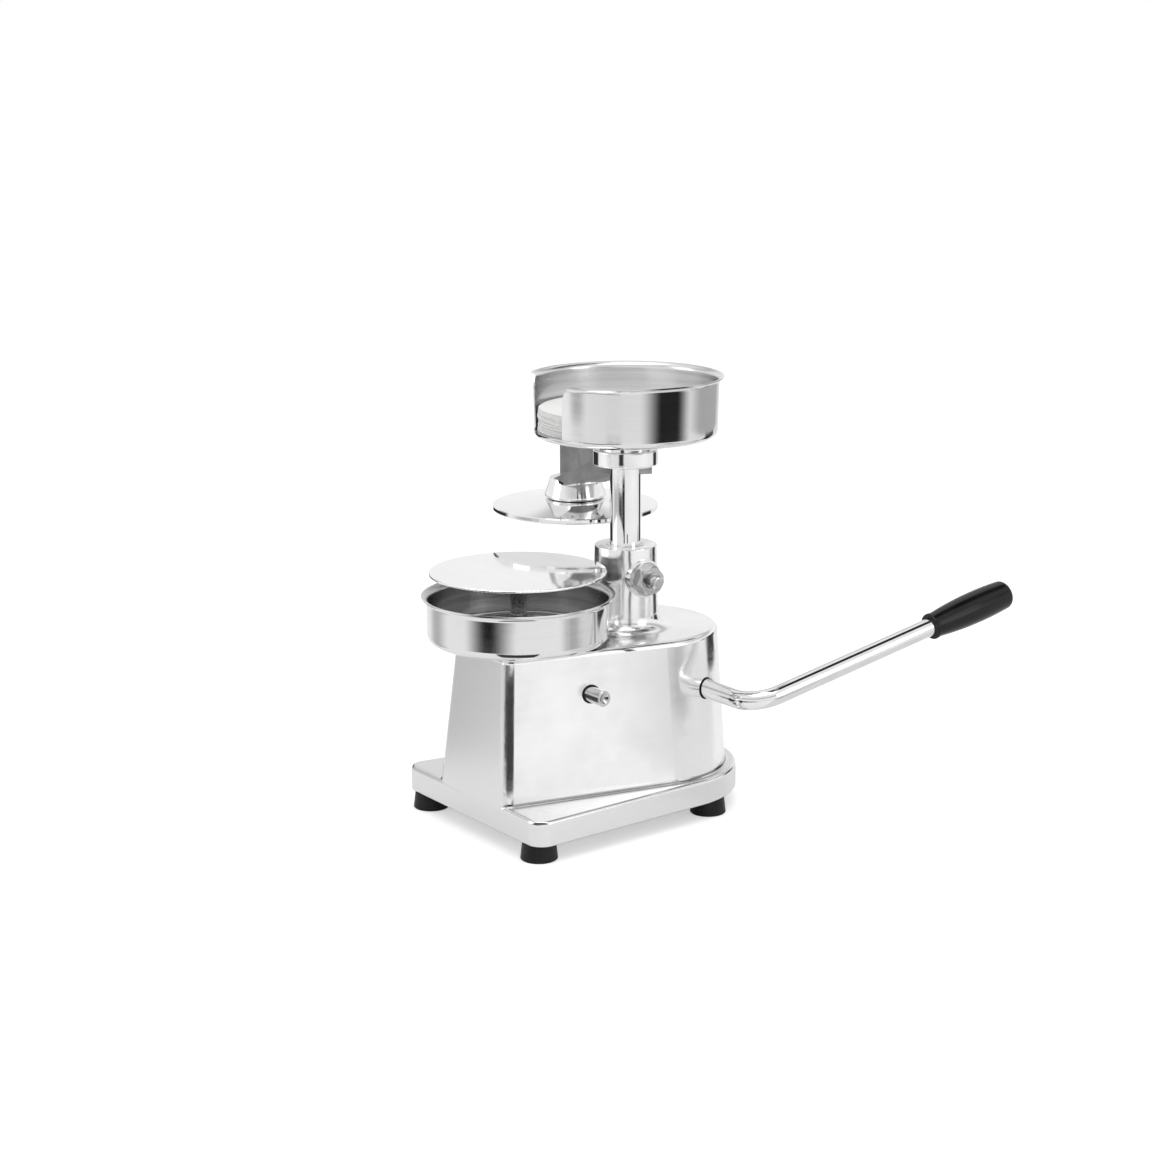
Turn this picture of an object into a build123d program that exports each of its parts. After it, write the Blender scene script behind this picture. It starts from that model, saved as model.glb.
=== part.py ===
from build123d import *
import os
from math import cos, radians, sin

os.makedirs("parts", exist_ok=True)

# Manual patty press, real size in millimetres.
# Origin: on the axis of the lifting column, at the level the feet stand on.
# +X: the side the handle comes out of. -Y: the front, where the forming bowl is. +Z: up.

# ---------------------------------------------------------------- driving dimensions
# Clearances
running_gap = 0.05  # radial, every shaft or rod that turns or slides in a bush
side_gap = 0.1  # axial play of a turning part
free_gap = 0.35  # least distance between faces that must never touch

# Base and body casting
base_z = 12.5
base_height = 19.0
base_front_y = -137.0
base_left_x = -93.0
base_right_x = 84.0
base_corner_r = 12.0
base_rear_r = 75.0
base_rear_x = -1.5
base_rear_y = 11.5
body_top_z = 137.0
# Plan of the body: left x, right x, front y, corner radius, rear radius, rear centre x and y
body_foot = (-48.0, 43.5, -137.0, 8.5, 69.0, -2.0, 9.5)
body_head = (-37.0, 35.5, -128.5, 8.0, 65.0, -4.0, 7.0)
casting_wall = 5.5
base_top_z = base_z + base_height
ceiling_z = body_top_z - casting_wall

# Tower that carries the column
tower_top_z = 199.3
tower_top_r = 23.1
tower_root_r = 24.8
tower_root_fillet = 11.0

# Column
column_r = 11.6
column_spigot_r = 8.0
bush_wall = 2.75
bush_length = 17.0
stroke = 45.0

# Forming bowl
bowl_offset = 95.5
bowl_wall_r = 65.9
bowl_lip = 4.0
bowl_floor_z = 140.5
bowl_rim_z = 174.4
bowl_sheet = 1.2
bowl_corner_r = 6.4
bowl_y = -bowl_offset
bowl_inner_r = bowl_wall_r - bowl_sheet

# Ejector
ejector_gap = 0.75  # radial, between the disc and the bowl
ejector_top_z = 191.6
ejector_thick = 2.0
ejector_rod_r = 6.0
guide_r = 10.0
guide_flange_r = 15.0
guide_flange = 2.0

# Handle, shaft and crank
shaft_y = 30.0
rod_r = 7.0
handle_plane_x = 116.5
handle_bend_r = 21.5
handle_rise = 11.0  # degrees above the rearward horizontal at rest
handle_travel = 110.0  # degrees
grip_start = 172.5
grip_length = 79.5
grip_small_r = 9.4
grip_belly_r = 12.2
grip_end_r = 11.2
shaft_boss_x = 44.0
shaft_end_x = -55.0
crank_x = 25.5
crank_thick = 8.0
crank_pin_r = 3.5
crank_eye_r = 7.5
crank_room = 4.5  # between the crank's eye at rest and the roof above it
roller_r = 5.5
shaft_z = ceiling_z - crank_room - crank_eye_r - stroke / 2
half_travel = radians(handle_travel / 2)
crank_r = stroke / (2 * sin(half_travel))
pin_y = shaft_y - crank_r * cos(half_travel)
pin_z = shaft_z + crank_r * sin(half_travel)

# Lift bracket
boss_z = 80.0
boss_top_z = 98.0
fork_x = 15.5
fork_thick = 8.0
fork_rear_y = 20.5
fork_front_y = -10.0
fork_top_z = ceiling_z - 1.2
fork_play = 1.8  # vertical play of the roller in the fork, each side
thrust_washer_t = 1.1

# Stop pin across the body
stop_y = -66.3
stop_z = 106.0
stop_r = 5.75
stop_end_x = 65.5
stop_sleeve_r = 8.0
stop_boss_x = 36.0

# Head casting, press plate
head_angle = 168.0  # direction of the arm seen from above, from +X towards +Y
hub_z = 259.0
hub_height = 12.0
clamp_screw_z = hub_z - 3.6
hub_r = 24.0
hub_edge_r = 1.3
neck_r = 19.0
neck_top_z = 279.7
fin_half = 7.0
fin_edge_r = 1.6
web_hub_r = 14.0
web_boss_r = 18.0
web_start = 13.0
fin_end = 109.0
plate_gap = 0.9  # radial, between the plate and the bowl
plate_r = bowl_inner_r - plate_gap
plate_z = 208.1
plate_edge = 4.2
plate_rise = 4.9
plate_hub_r = 18.0
head_boss_r = 24.3
head_boss_top_r = 19.4
head_boss_top_z = 233.0

# Paper tray
tray_wall_r = 68.4
tray_foot_r = 67.4
tray_lip = 3.4
tray_floor_z = 280.5
tray_rim_z = 325.0
tray_sheet = 1.0
tray_corner_r = 5.0
slot_from = 227.0  # degrees, from +X towards +Y
slot_to = 282.0
slot_sill = 3.6
slot_corner_w = 12.0
slot_corner_h = 17.0
tray_dimple_r = 11.2
tray_dimple = 3.3
paper_r = 64.6
paper_curl = 2.6  # the lowest sheets curl up along the tray's corner
paper_height = 20.4

# Drag screw in the tower
drag_z = 177.0
drag_face_x = 24.8
drag_r = 5.9
drag_end_x = 41.5

# Rubber feet
foot_front_half = 72.0
foot_rear_half = 60.0
foot_middle_x = -3.0
foot_front_y = -125.5
foot_rear_y = 34.5
foot_places = [
    (foot_middle_x + foot_front_half, foot_front_y),
    (foot_middle_x - foot_front_half, foot_front_y),
    (foot_middle_x - foot_rear_half, foot_rear_y),
    (foot_middle_x + foot_rear_half, foot_rear_y),
]
foot_names = ["front_right", "front_left", "rear_left", "rear_right"]
foot_r = 13.4
foot_top_r = 12.1
foot_screw_r = 2.5
foot_boss_r = 9.0


def rounded_plan(z, outline, inset=0.0):
    """Plan of the casting at height z: two front corners and a round rear end."""
    left_x, right_x, front_y, corner_r, rear_r, rear_x, rear_y = outline
    with BuildSketch(Plane.XY.offset(z)) as plan:
        with Locations((right_x - corner_r, front_y + corner_r)):
            Circle(corner_r - inset)
        with Locations((left_x + corner_r, front_y + corner_r)):
            Circle(corner_r - inset)
        with Locations((rear_x, rear_y)):
            Circle(rear_r - inset)
        make_hull()
    return plan.sketch


def save(part, label):
    """Label one piece and write its file."""
    part.label = label
    export_step(part, "parts/" + label + ".step")


base_plan = (
    base_left_x,
    base_right_x,
    base_front_y,
    base_corner_r,
    base_rear_r,
    base_rear_x,
    base_rear_y,
)


# ---------------------------------------------------------------- base casting
with BuildPart() as body_outline:
    loft(sections=[rounded_plan(base_top_z - 4, body_foot), rounded_plan(body_top_z, body_head)])

with BuildPart() as cavity:
    # Hollow of the body, open below
    body_floor = rounded_plan(base_z - 1, body_foot, casting_wall)
    body_roof = rounded_plan(ceiling_z, body_head, casting_wall)
    loft(sections=[body_floor, body_roof])
    # Hollow of the base flange
    add(rounded_plan(base_z - 1, base_plan, casting_wall))
    extrude(amount=base_height - casting_wall + 1)
    # Inner bosses that stay solid: handle shaft, stop pin, feet
    for side in (1, -1):
        with BuildSketch(Plane.YZ.offset(side * shaft_boss_x)):
            with Locations((shaft_y, shaft_z)):
                Circle(15.0)
        extrude(amount=side * 40, mode=Mode.SUBTRACT)
        with BuildSketch(Plane.YZ.offset(side * stop_boss_x)):
            with Locations((stop_y, stop_z)):
                Circle(11.0)
        extrude(amount=side * 40, mode=Mode.SUBTRACT)
    with BuildSketch(Plane.XY.offset(base_z - 1)):
        with Locations(*foot_places):
            Circle(foot_boss_r)
    extrude(amount=base_height, mode=Mode.SUBTRACT)

with BuildPart() as base_casting:
    # Base flange
    add(rounded_plan(base_z, base_plan))
    extrude(amount=base_height)
    fillet(base_casting.faces().sort_by(Axis.Z)[-1].edges(), 3.0)
    fillet(base_casting.faces().sort_by(Axis.Z)[0].edges(), 1.0)
    # Body
    add(body_outline.part)
    body_roof_face = base_casting.faces().sort_by(Axis.Z)[-1]
    fillet(body_roof_face.edges(), 4.0)
    # Cove where the body grows out of the flange
    foot_line = base_casting.edges().filter_by_position(Axis.Z, base_top_z - 0.01, base_top_z + 0.01)
    cove_edges = [e for e in foot_line if abs(e.center().X) < 56 and e.center().Y < -20 and e.length > 60]
    cove_edges += [e for e in foot_line if e.length > 200 and e.center().Y < base_rear_y + base_rear_r - 6]
    fillet(cove_edges, 2.4)
    # Tower
    with Locations((0, 0, body_top_z - 1)):
        Cone(
            tower_root_r,
            tower_top_r,
            tower_top_z - body_top_z + 1,
            align=(Align.CENTER, Align.CENTER, Align.MIN),
        )
    fillet(base_casting.edges().group_by(Axis.Z)[-1], 0.8)
    root_line = base_casting.edges().filter_by_position(Axis.Z, body_top_z - 0.01, body_top_z + 0.01)
    tower_root = [e for e in root_line if e.length < 7 * tower_root_r and abs(e.center().Y) < 1]
    fillet(tower_root, tower_root_fillet)
    # Flat boss for the drag screw
    with BuildSketch(Plane.YZ.offset(column_r + 4)):
        with Locations((0, drag_z)):
            Circle(14.2)
    extrude(amount=drag_face_x - column_r - 4)
    # Pad under the forming bowl
    with Locations((0, bowl_y, body_top_z - 1)):
        Cylinder(24.0, 3.0, align=(Align.CENTER, Align.CENTER, Align.MIN))
    add(cavity.part, mode=Mode.SUBTRACT)
    # Column bores: two bush seats and a wider run between them
    with BuildSketch(Plane.XY.offset(ceiling_z - 1)):
        Circle(column_r + 1.0)
    extrude(amount=tower_top_z, mode=Mode.SUBTRACT)
    with BuildSketch(Plane.XY.offset(ceiling_z - 1)):
        Circle(column_r + running_gap + bush_wall)
    extrude(amount=bush_length + 1, mode=Mode.SUBTRACT)
    with BuildSketch(Plane.XY.offset(tower_top_z - bush_length)):
        Circle(column_r + running_gap + bush_wall)
    extrude(amount=bush_length + 1, mode=Mode.SUBTRACT)
    # Hole of the ejector guide
    with BuildSketch(Plane.XY.offset(ceiling_z - 1)):
        with Locations((0, bowl_y)):
            Circle(guide_r)
    extrude(amount=12, mode=Mode.SUBTRACT)
    # Tapped hole of the drag screw
    with BuildSketch(Plane.YZ.offset(0)):
        with Locations((0, drag_z)):
            Circle(drag_r)
    extrude(amount=drag_face_x + 1, mode=Mode.SUBTRACT)
    # Handle shaft: blind on the left, through on the right
    with BuildSketch(Plane.YZ.offset(shaft_end_x - 1.5)):
        with Locations((shaft_y, shaft_z)):
            Circle(rod_r + running_gap + 2.5)
    extrude(amount=56 - shaft_end_x + 1.5, mode=Mode.SUBTRACT)
    with BuildSketch(Plane.YZ.offset(0)):
        with Locations((shaft_y, shaft_z)):
            Circle(rod_r + 1.1)
    extrude(amount=90, mode=Mode.SUBTRACT)
    # Stop pin: blind on the left, through on the right with room for its grommet
    with BuildSketch(Plane.YZ.offset(-44.0)):
        with Locations((stop_y, stop_z)):
            Circle(stop_r)
    extrude(amount=120, mode=Mode.SUBTRACT)
    with BuildSketch(Plane.YZ.offset(46.0)):
        with Locations((stop_y, stop_z)):
            Circle(stop_r + 1.2)
    extrude(amount=30, mode=Mode.SUBTRACT)
    # Holes of the foot screws
    with BuildSketch(Plane.XY.offset(base_z - 2)):
        with Locations(*foot_places):
            Circle(foot_screw_r)
    extrude(amount=15, mode=Mode.SUBTRACT)
save(base_casting.part, "base_casting")


# ---------------------------------------------------------------- feet
for foot_name, foot_place in zip(foot_names, foot_places):
    with BuildPart() as foot:
        with BuildSketch(Plane.XZ.offset(-foot_place[1])):
            with BuildLine():
                Polyline(
                    (foot_place[0] + foot_screw_r, 6.5),
                    (foot_place[0] + 5.4, 6.5),
                    (foot_place[0] + 5.4, 0.0),
                    (foot_place[0] + foot_r - 0.8, 0.0),
                    (foot_place[0] + foot_r, 0.8),
                    (foot_place[0] + foot_top_r, base_z - 0.6),
                    (foot_place[0] + foot_top_r - 0.6, base_z),
                    (foot_place[0] + foot_screw_r, base_z),
                    close=True,
                )
            make_face()
        revolve(axis=Axis((foot_place[0], foot_place[1], 0), (0, 0, 1)))
    save(foot.part, "foot_" + foot_name)

with BuildPart() as foot_screws:
    with BuildSketch(Plane.XY.offset(2.9)):
        with Locations(*foot_places):
            Circle(4.6)
    extrude(amount=3.6)
    with BuildSketch(Plane.XY.offset(6.5)):
        with Locations(*foot_places):
            Circle(foot_screw_r)
    extrude(amount=16.0)
    # Cross recess of each head
    with BuildSketch(Plane.XY.offset(2.9)):
        with Locations(*foot_places):
            Rectangle(5.0, 1.1)
            Rectangle(1.1, 5.0)
    extrude(amount=1.8, mode=Mode.SUBTRACT)
save(foot_screws.part, "foot_screws")


# ---------------------------------------------------------------- column bushes
with BuildPart() as column_bush_upper:
    with BuildSketch(Plane.XY.offset(tower_top_z - bush_length)):
        Circle(column_r + running_gap + bush_wall)
        Circle(column_r + running_gap, mode=Mode.SUBTRACT)
    extrude(amount=bush_length + 0.4)
    chamfer(column_bush_upper.edges().group_by(Axis.Z)[-1], 0.35)
save(column_bush_upper.part, "column_bush_upper")

with BuildPart() as column_bush_lower:
    with BuildSketch(Plane.XY.offset(ceiling_z)):
        Circle(column_r + running_gap + bush_wall)
        Circle(column_r + running_gap, mode=Mode.SUBTRACT)
    extrude(amount=bush_length)
save(column_bush_lower.part, "column_bush_lower")


# ---------------------------------------------------------------- drag screw of the tower
with BuildPart() as drag_pad:
    with BuildSketch(Plane.YZ.offset(column_r + free_gap)):
        with Locations((0, drag_z)):
            Circle(4.5)
    extrude(amount=3.5)
save(drag_pad.part, "drag_pad")

with BuildPart() as drag_screw:
    with BuildSketch(Plane.YZ.offset(column_r + free_gap + 3.5)):
        with Locations((0, drag_z)):
            Circle(drag_r)
    extrude(amount=drag_end_x - column_r - free_gap - 3.5)
    fillet(drag_screw.edges().group_by(Axis.X)[-1], 3.2)
    # Runout groove just outside the nut
    with BuildSketch(Plane.YZ.offset(drag_face_x + 9.4)):
        with Locations((0, drag_z)):
            Circle(drag_r + 1)
            Circle(drag_r - 0.6, mode=Mode.SUBTRACT)
    extrude(amount=1.0, mode=Mode.SUBTRACT)
save(drag_screw.part, "drag_screw")

with BuildPart() as drag_washer:
    with BuildSketch(Plane.YZ.offset(drag_face_x)):
        with Locations((0, drag_z)):
            Circle(12.6)
            Circle(drag_r, mode=Mode.SUBTRACT)
    extrude(amount=1.9)
    chamfer(drag_washer.edges().group_by(Axis.X)[-1], 0.3)
save(drag_washer.part, "drag_washer")

with BuildPart() as drag_nut:
    with BuildSketch(Plane.YZ.offset(drag_face_x + 1.9)):
        with Locations((0, drag_z)):
            RegularPolygon(9.6, 6, major_radius=False, rotation=12)
            Circle(drag_r, mode=Mode.SUBTRACT)
    extrude(amount=7.2)
    # Chamfered corners of the hexagon
    with BuildSketch(Plane.XY.offset(drag_z)):
        with BuildLine():
            Polyline(
                (drag_face_x + 1.8, 0),
                (drag_face_x + 1.8, 10.2),
                (drag_face_x + 2.8, 11.2),
                (drag_face_x + 7.9, 11.2),
                (drag_face_x + 9.2, 9.9),
                (drag_face_x + 9.2, 0),
                close=True,
            )
        make_face()
    revolve(axis=Axis((0, 0, drag_z), (1, 0, 0)), mode=Mode.INTERSECT)
save(drag_nut.part, "drag_nut")


# ---------------------------------------------------------------- forming bowl
with BuildPart() as forming_bowl:
    with BuildSketch(Plane.XZ.offset(-bowl_y)):
        with BuildLine():
            floor_out = Line((guide_r, bowl_floor_z), (bowl_wall_r - bowl_corner_r, bowl_floor_z))
            corner_out = TangentArc(
                floor_out @ 1,
                (bowl_wall_r, bowl_floor_z + bowl_corner_r),
                tangent=(1, 0),
            )
            wall_out = Line(corner_out @ 1, (bowl_wall_r, bowl_rim_z - bowl_sheet - bowl_lip))
            lip_out = TangentArc(
                wall_out @ 1,
                (bowl_wall_r + bowl_lip, bowl_rim_z - bowl_sheet),
                tangent=(0, 1),
            )
            lip_edge = Line(lip_out @ 1, (bowl_wall_r + bowl_lip, bowl_rim_z))
            lip_in = TangentArc(
                lip_edge @ 1,
                (bowl_wall_r - bowl_sheet, bowl_rim_z - bowl_sheet - bowl_lip),
                tangent=(-1, 0),
            )
            wall_in = Line(lip_in @ 1, (bowl_wall_r - bowl_sheet, bowl_floor_z + bowl_corner_r))
            corner_in = TangentArc(
                wall_in @ 1,
                (bowl_wall_r - bowl_corner_r, bowl_floor_z + bowl_sheet),
                tangent=(0, -1),
            )
            floor_in = Line(corner_in @ 1, (guide_r, bowl_floor_z + bowl_sheet))
            Line(floor_in @ 1, floor_out @ 0)
        make_face()
    revolve(axis=Axis((0, bowl_y, 0), (0, 0, 1)))
save(forming_bowl.part, "forming_bowl")

with BuildPart() as bowl_gasket:
    with BuildSketch(Plane.XY.offset(body_top_z + 2)):
        with Locations((0, bowl_y)):
            Circle(23.0)
            Circle(guide_r + 1, mode=Mode.SUBTRACT)
    extrude(amount=bowl_floor_z - body_top_z - 2)
save(bowl_gasket.part, "bowl_gasket")

with BuildPart() as ejector_guide:
    with BuildSketch(Plane.XY.offset(ceiling_z - 10)):
        with Locations((0, bowl_y)):
            Circle(guide_r)
    extrude(amount=bowl_floor_z + bowl_sheet - ceiling_z + 10)
    with BuildSketch(Plane.XY.offset(bowl_floor_z + bowl_sheet)):
        with Locations((0, bowl_y)):
            Circle(guide_flange_r)
    extrude(amount=guide_flange)
    chamfer(ejector_guide.edges().group_by(Axis.Z)[-1], 0.5)
    with BuildSketch(Plane.XY.offset(ceiling_z - 11)):
        with Locations((0, bowl_y)):
            Circle(ejector_rod_r + running_gap)
    extrude(amount=40, mode=Mode.SUBTRACT)
save(ejector_guide.part, "ejector_guide")

with BuildPart() as bowl_nut:
    with BuildSketch(Plane.XY.offset(ceiling_z - 6.5)):
        with Locations((0, bowl_y)):
            RegularPolygon(14.0, 6, major_radius=False)
            Circle(guide_r, mode=Mode.SUBTRACT)
    extrude(amount=6.5)
save(bowl_nut.part, "bowl_nut")


# ---------------------------------------------------------------- ejector
ejector_disc_z = ejector_top_z - ejector_thick
with BuildPart() as ejector_disc:
    with BuildSketch(Plane.XY.offset(ejector_disc_z)):
        with Locations((0, bowl_y)):
            Circle(bowl_inner_r - ejector_gap)
    extrude(amount=ejector_thick)
    fillet(ejector_disc.edges(), 0.7)
    with BuildSketch(Plane.XY.offset(ejector_disc_z)):
        with Locations((0, bowl_y)):
            Circle(4.0)
    extrude(amount=1.5, mode=Mode.SUBTRACT)
save(ejector_disc.part, "ejector_disc")

with BuildPart() as ejector_rod:
    with BuildSketch(Plane.XY.offset(boss_z - 6)):
        with Locations((0, bowl_y)):
            Circle(ejector_rod_r)
    extrude(amount=ejector_disc_z - boss_z + 6)
    with BuildSketch(Plane.XY.offset(ejector_disc_z)):
        with Locations((0, bowl_y)):
            Circle(4.0)
    extrude(amount=1.5)
    # Flat that the clamp screw bears on
    with BuildSketch(Plane.XY.offset(boss_z)):
        with Locations((ejector_rod_r + 0.2, bowl_y)):
            Rectangle(2.0, 12.0)
    extrude(amount=boss_top_z - boss_z, mode=Mode.SUBTRACT)
save(ejector_rod.part, "ejector_rod")

with BuildPart() as ejector_clamp_screw:
    with BuildSketch(Plane.YZ.offset(ejector_rod_r - 0.8)):
        with Locations((bowl_y, (boss_z + boss_top_z) / 2)):
            Circle(2.5)
    extrude(amount=6.8)
    with BuildSketch(Plane.YZ.offset(ejector_rod_r + 3.2)):
        with Locations((bowl_y, (boss_z + boss_top_z) / 2)):
            RegularPolygon(1.25, 6, major_radius=False)
    extrude(amount=4.0, mode=Mode.SUBTRACT)
save(ejector_clamp_screw.part, "ejector_clamp_screw")


# ---------------------------------------------------------------- lift bracket
beam_top_z = stop_z - stop_sleeve_r - 0.3
fork_half_gap = roller_r + fork_play
with BuildPart() as lift_bracket:
    # Boss round the column foot
    with Locations((0, 0, boss_z)):
        Cylinder(17.0, boss_top_z - boss_z, align=(Align.CENTER, Align.CENTER, Align.MIN))
    # Boss of the ejector rod
    with Locations((0, bowl_y, boss_z)):
        Cylinder(11.0, boss_top_z - boss_z, align=(Align.CENTER, Align.CENTER, Align.MIN))
    # Beam between the two
    with BuildSketch(Plane.XY.offset(boss_z)):
        with Locations((0, bowl_y / 2)):
            Rectangle(10.0, bowl_offset)
    extrude(amount=beam_top_z - boss_z)
    # Block that carries the fork
    with BuildSketch(Plane.XY.offset(boss_z)):
        with Locations(((fork_x + fork_thick) / 2, 2.0)):
            Rectangle(fork_x + fork_thick, 22.0)
    extrude(amount=boss_top_z - boss_z)
    # Fork plate beside the column
    with BuildSketch(Plane.YZ.offset(fork_x)):
        with BuildLine():
            Polyline(
                (fork_front_y, boss_z),
                (16.0, boss_z),
                (fork_rear_y, boss_z + 12),
                (fork_rear_y, fork_top_z),
                (fork_front_y, fork_top_z),
                close=True,
            )
        make_face()
        # Open slot for the crank roller
        with Locations((shaft_y - crank_r - 0.6, pin_z)):
            Circle(fork_half_gap, mode=Mode.SUBTRACT)
        with Locations((shaft_y - crank_r - 0.6 + 20, pin_z)):
            Rectangle(40.0, 2 * fork_half_gap, mode=Mode.SUBTRACT)
    extrude(amount=fork_thick)
    # Bores
    with BuildSketch(Plane.XY.offset(boss_z - 1)):
        Circle(column_spigot_r + running_gap)
        with Locations((0, bowl_y)):
            Circle(ejector_rod_r)
    extrude(amount=40, mode=Mode.SUBTRACT)
    # Tapped hole of the clamp screw
    with BuildSketch(Plane.YZ.offset(0)):
        with Locations((bowl_y, (boss_z + boss_top_z) / 2)):
            Circle(2.5)
    extrude(amount=14, mode=Mode.SUBTRACT)
save(lift_bracket.part, "lift_bracket")

with BuildPart() as thrust_washer:
    with BuildSketch(Plane.XY.offset(boss_top_z)):
        Circle(14.0)
        Circle(column_spigot_r + free_gap, mode=Mode.SUBTRACT)
    extrude(amount=thrust_washer_t)
save(thrust_washer.part, "thrust_washer")


# ---------------------------------------------------------------- column
column_top_z = tray_floor_z - tray_dimple
shoulder_z = boss_top_z + thrust_washer_t + side_gap
spigot_end_z = boss_z - side_gap
with BuildPart() as column:
    with BuildSketch(Plane.XY.offset(shoulder_z)):
        Circle(column_r)
    extrude(amount=column_top_z - shoulder_z)
    with BuildSketch(Plane.XY.offset(spigot_end_z)):
        Circle(column_spigot_r)
    extrude(amount=shoulder_z - spigot_end_z)
    # Tapped holes in both ends
    with BuildSketch(Plane.XY.offset(spigot_end_z)):
        Circle(3.0)
    extrude(amount=18, mode=Mode.SUBTRACT)
    with BuildSketch(Plane.XY.offset(column_top_z - 18)):
        Circle(4.0)
    extrude(amount=20, mode=Mode.SUBTRACT)
save(column.part, "column")

with BuildPart() as column_washer:
    with BuildSketch(Plane.XY.offset(spigot_end_z - 1.6)):
        Circle(13.0)
        Circle(3.0, mode=Mode.SUBTRACT)
    extrude(amount=1.6)
save(column_washer.part, "column_washer")

with BuildPart() as column_screw:
    with BuildSketch(Plane.XY.offset(spigot_end_z - 7.2)):
        Circle(5.2)
    extrude(amount=5.6)
    with BuildSketch(Plane.XY.offset(spigot_end_z - 1.6)):
        Circle(3.0)
    extrude(amount=18)
    with BuildSketch(Plane.XY.offset(spigot_end_z - 7.2)):
        RegularPolygon(2.5, 6, major_radius=False)
    extrude(amount=3, mode=Mode.SUBTRACT)
save(column_screw.part, "column_screw")


# ---------------------------------------------------------------- handle shaft and crank
arm_dir = (cos(radians(handle_rise)), sin(radians(handle_rise)))
rod_reach = grip_start + grip_length - 14
with BuildPart() as handle_rod:
    with BuildLine() as rod_path:
        FilletPolyline(
            (shaft_end_x, shaft_y, shaft_z),
            (handle_plane_x, shaft_y, shaft_z),
            (handle_plane_x, shaft_y + rod_reach * arm_dir[0], shaft_z + rod_reach * arm_dir[1]),
            radius=handle_bend_r,
        )
    with BuildSketch(Plane.YZ.offset(shaft_end_x)):
        with Locations((shaft_y, shaft_z)):
            Circle(rod_r)
    sweep()
save(handle_rod.part, "handle_rod")

grip_plane = Plane(
    origin=(handle_plane_x, shaft_y, shaft_z),
    x_dir=(1, 0, 0),
    z_dir=(0, arm_dir[0], arm_dir[1]),
)
with BuildPart() as handle_grip:
    with BuildSketch(Plane(grip_plane.origin, x_dir=(1, 0, 0), z_dir=-grip_plane.y_dir)):
        with BuildLine():
            grip_end = grip_start + grip_length
            lip_face = Line((rod_r, grip_start), (grip_small_r + 0.3, grip_start))
            lip_round = Line(lip_face @ 1, (grip_small_r + 0.7, grip_start + 0.8))
            lip_side = Line(lip_round @ 1, (grip_small_r + 0.7, grip_start + 2.6))
            lip_back = Line(lip_side @ 1, (grip_small_r, grip_start + 3.4))
            swell = ThreePointArc(
                lip_back @ 1,
                (grip_belly_r, grip_start + 0.56 * grip_length),
                (grip_end_r, grip_end - 5),
            )
            dome = ThreePointArc(
                swell @ 1,
                (grip_end_r - 1.5, grip_end - 1.9),
                (grip_end_r - 4.6, grip_end - 0.6),
            )
            cap = Line(dome @ 1, (0, grip_end))
            core = Line(cap @ 1, (0, rod_reach))
            seat = Line(core @ 1, (rod_r, rod_reach))
            Line(seat @ 1, lip_face @ 0)
        make_face()
    revolve(axis=Axis(grip_plane.origin, grip_plane.z_dir))
save(handle_grip.part, "handle_grip")

with BuildPart() as shaft_bush_right:
    with BuildSketch(Plane.YZ.offset(shaft_boss_x)):
        with Locations((shaft_y, shaft_z)):
            Circle(rod_r + running_gap + 2.5)
            Circle(rod_r + running_gap, mode=Mode.SUBTRACT)
    extrude(amount=56 - shaft_boss_x)
save(shaft_bush_right.part, "shaft_bush_right")

with BuildPart() as shaft_bush_left:
    with BuildSketch(Plane.YZ.offset(-shaft_boss_x)):
        with Locations((shaft_y, shaft_z)):
            Circle(rod_r + running_gap + 2.5)
            Circle(rod_r + running_gap, mode=Mode.SUBTRACT)
    extrude(amount=shaft_end_x + shaft_boss_x)
save(shaft_bush_left.part, "shaft_bush_left")

with BuildPart() as shaft_seal:
    with BuildSketch(Plane.YZ.offset(56)):
        with Locations((shaft_y, shaft_z)):
            Circle(rod_r + 1.1)
            Circle(rod_r + free_gap, mode=Mode.SUBTRACT)
    extrude(amount=20)
    add(body_outline.part, mode=Mode.INTERSECT)
save(shaft_seal.part, "shaft_seal")

with BuildPart() as shaft_spacer:
    with BuildSketch(Plane.YZ.offset(crank_x + crank_thick)):
        with Locations((shaft_y, shaft_z)):
            Circle(rod_r + 2.5)
            Circle(rod_r, mode=Mode.SUBTRACT)
    extrude(amount=shaft_boss_x - side_gap - crank_x - crank_thick)
save(shaft_spacer.part, "shaft_spacer")

with BuildPart() as shaft_collar:
    with BuildSketch(Plane.YZ.offset(-shaft_boss_x + side_gap)):
        with Locations((shaft_y, shaft_z)):
            Circle(rod_r + 5)
            Circle(rod_r, mode=Mode.SUBTRACT)
    extrude(amount=8.0)
    with BuildSketch(Plane.XY.offset(shaft_z + rod_r - 1)):
        with Locations((4.0 + side_gap - shaft_boss_x, shaft_y)):
            Circle(2.0)
    extrude(amount=10, mode=Mode.SUBTRACT)
save(shaft_collar.part, "shaft_collar")

with BuildPart() as collar_screw:
    with BuildSketch(Plane.XY.offset(shaft_z + rod_r)):
        with Locations((4.0 + side_gap - shaft_boss_x, shaft_y)):
            Circle(2.0)
    extrude(amount=4.4)
    with BuildSketch(Plane.XY.offset(shaft_z + rod_r + 2.2)):
        with Locations((4.0 + side_gap - shaft_boss_x, shaft_y)):
            RegularPolygon(1.0, 6, major_radius=False)
    extrude(amount=4, mode=Mode.SUBTRACT)
save(collar_screw.part, "collar_screw")

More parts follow.
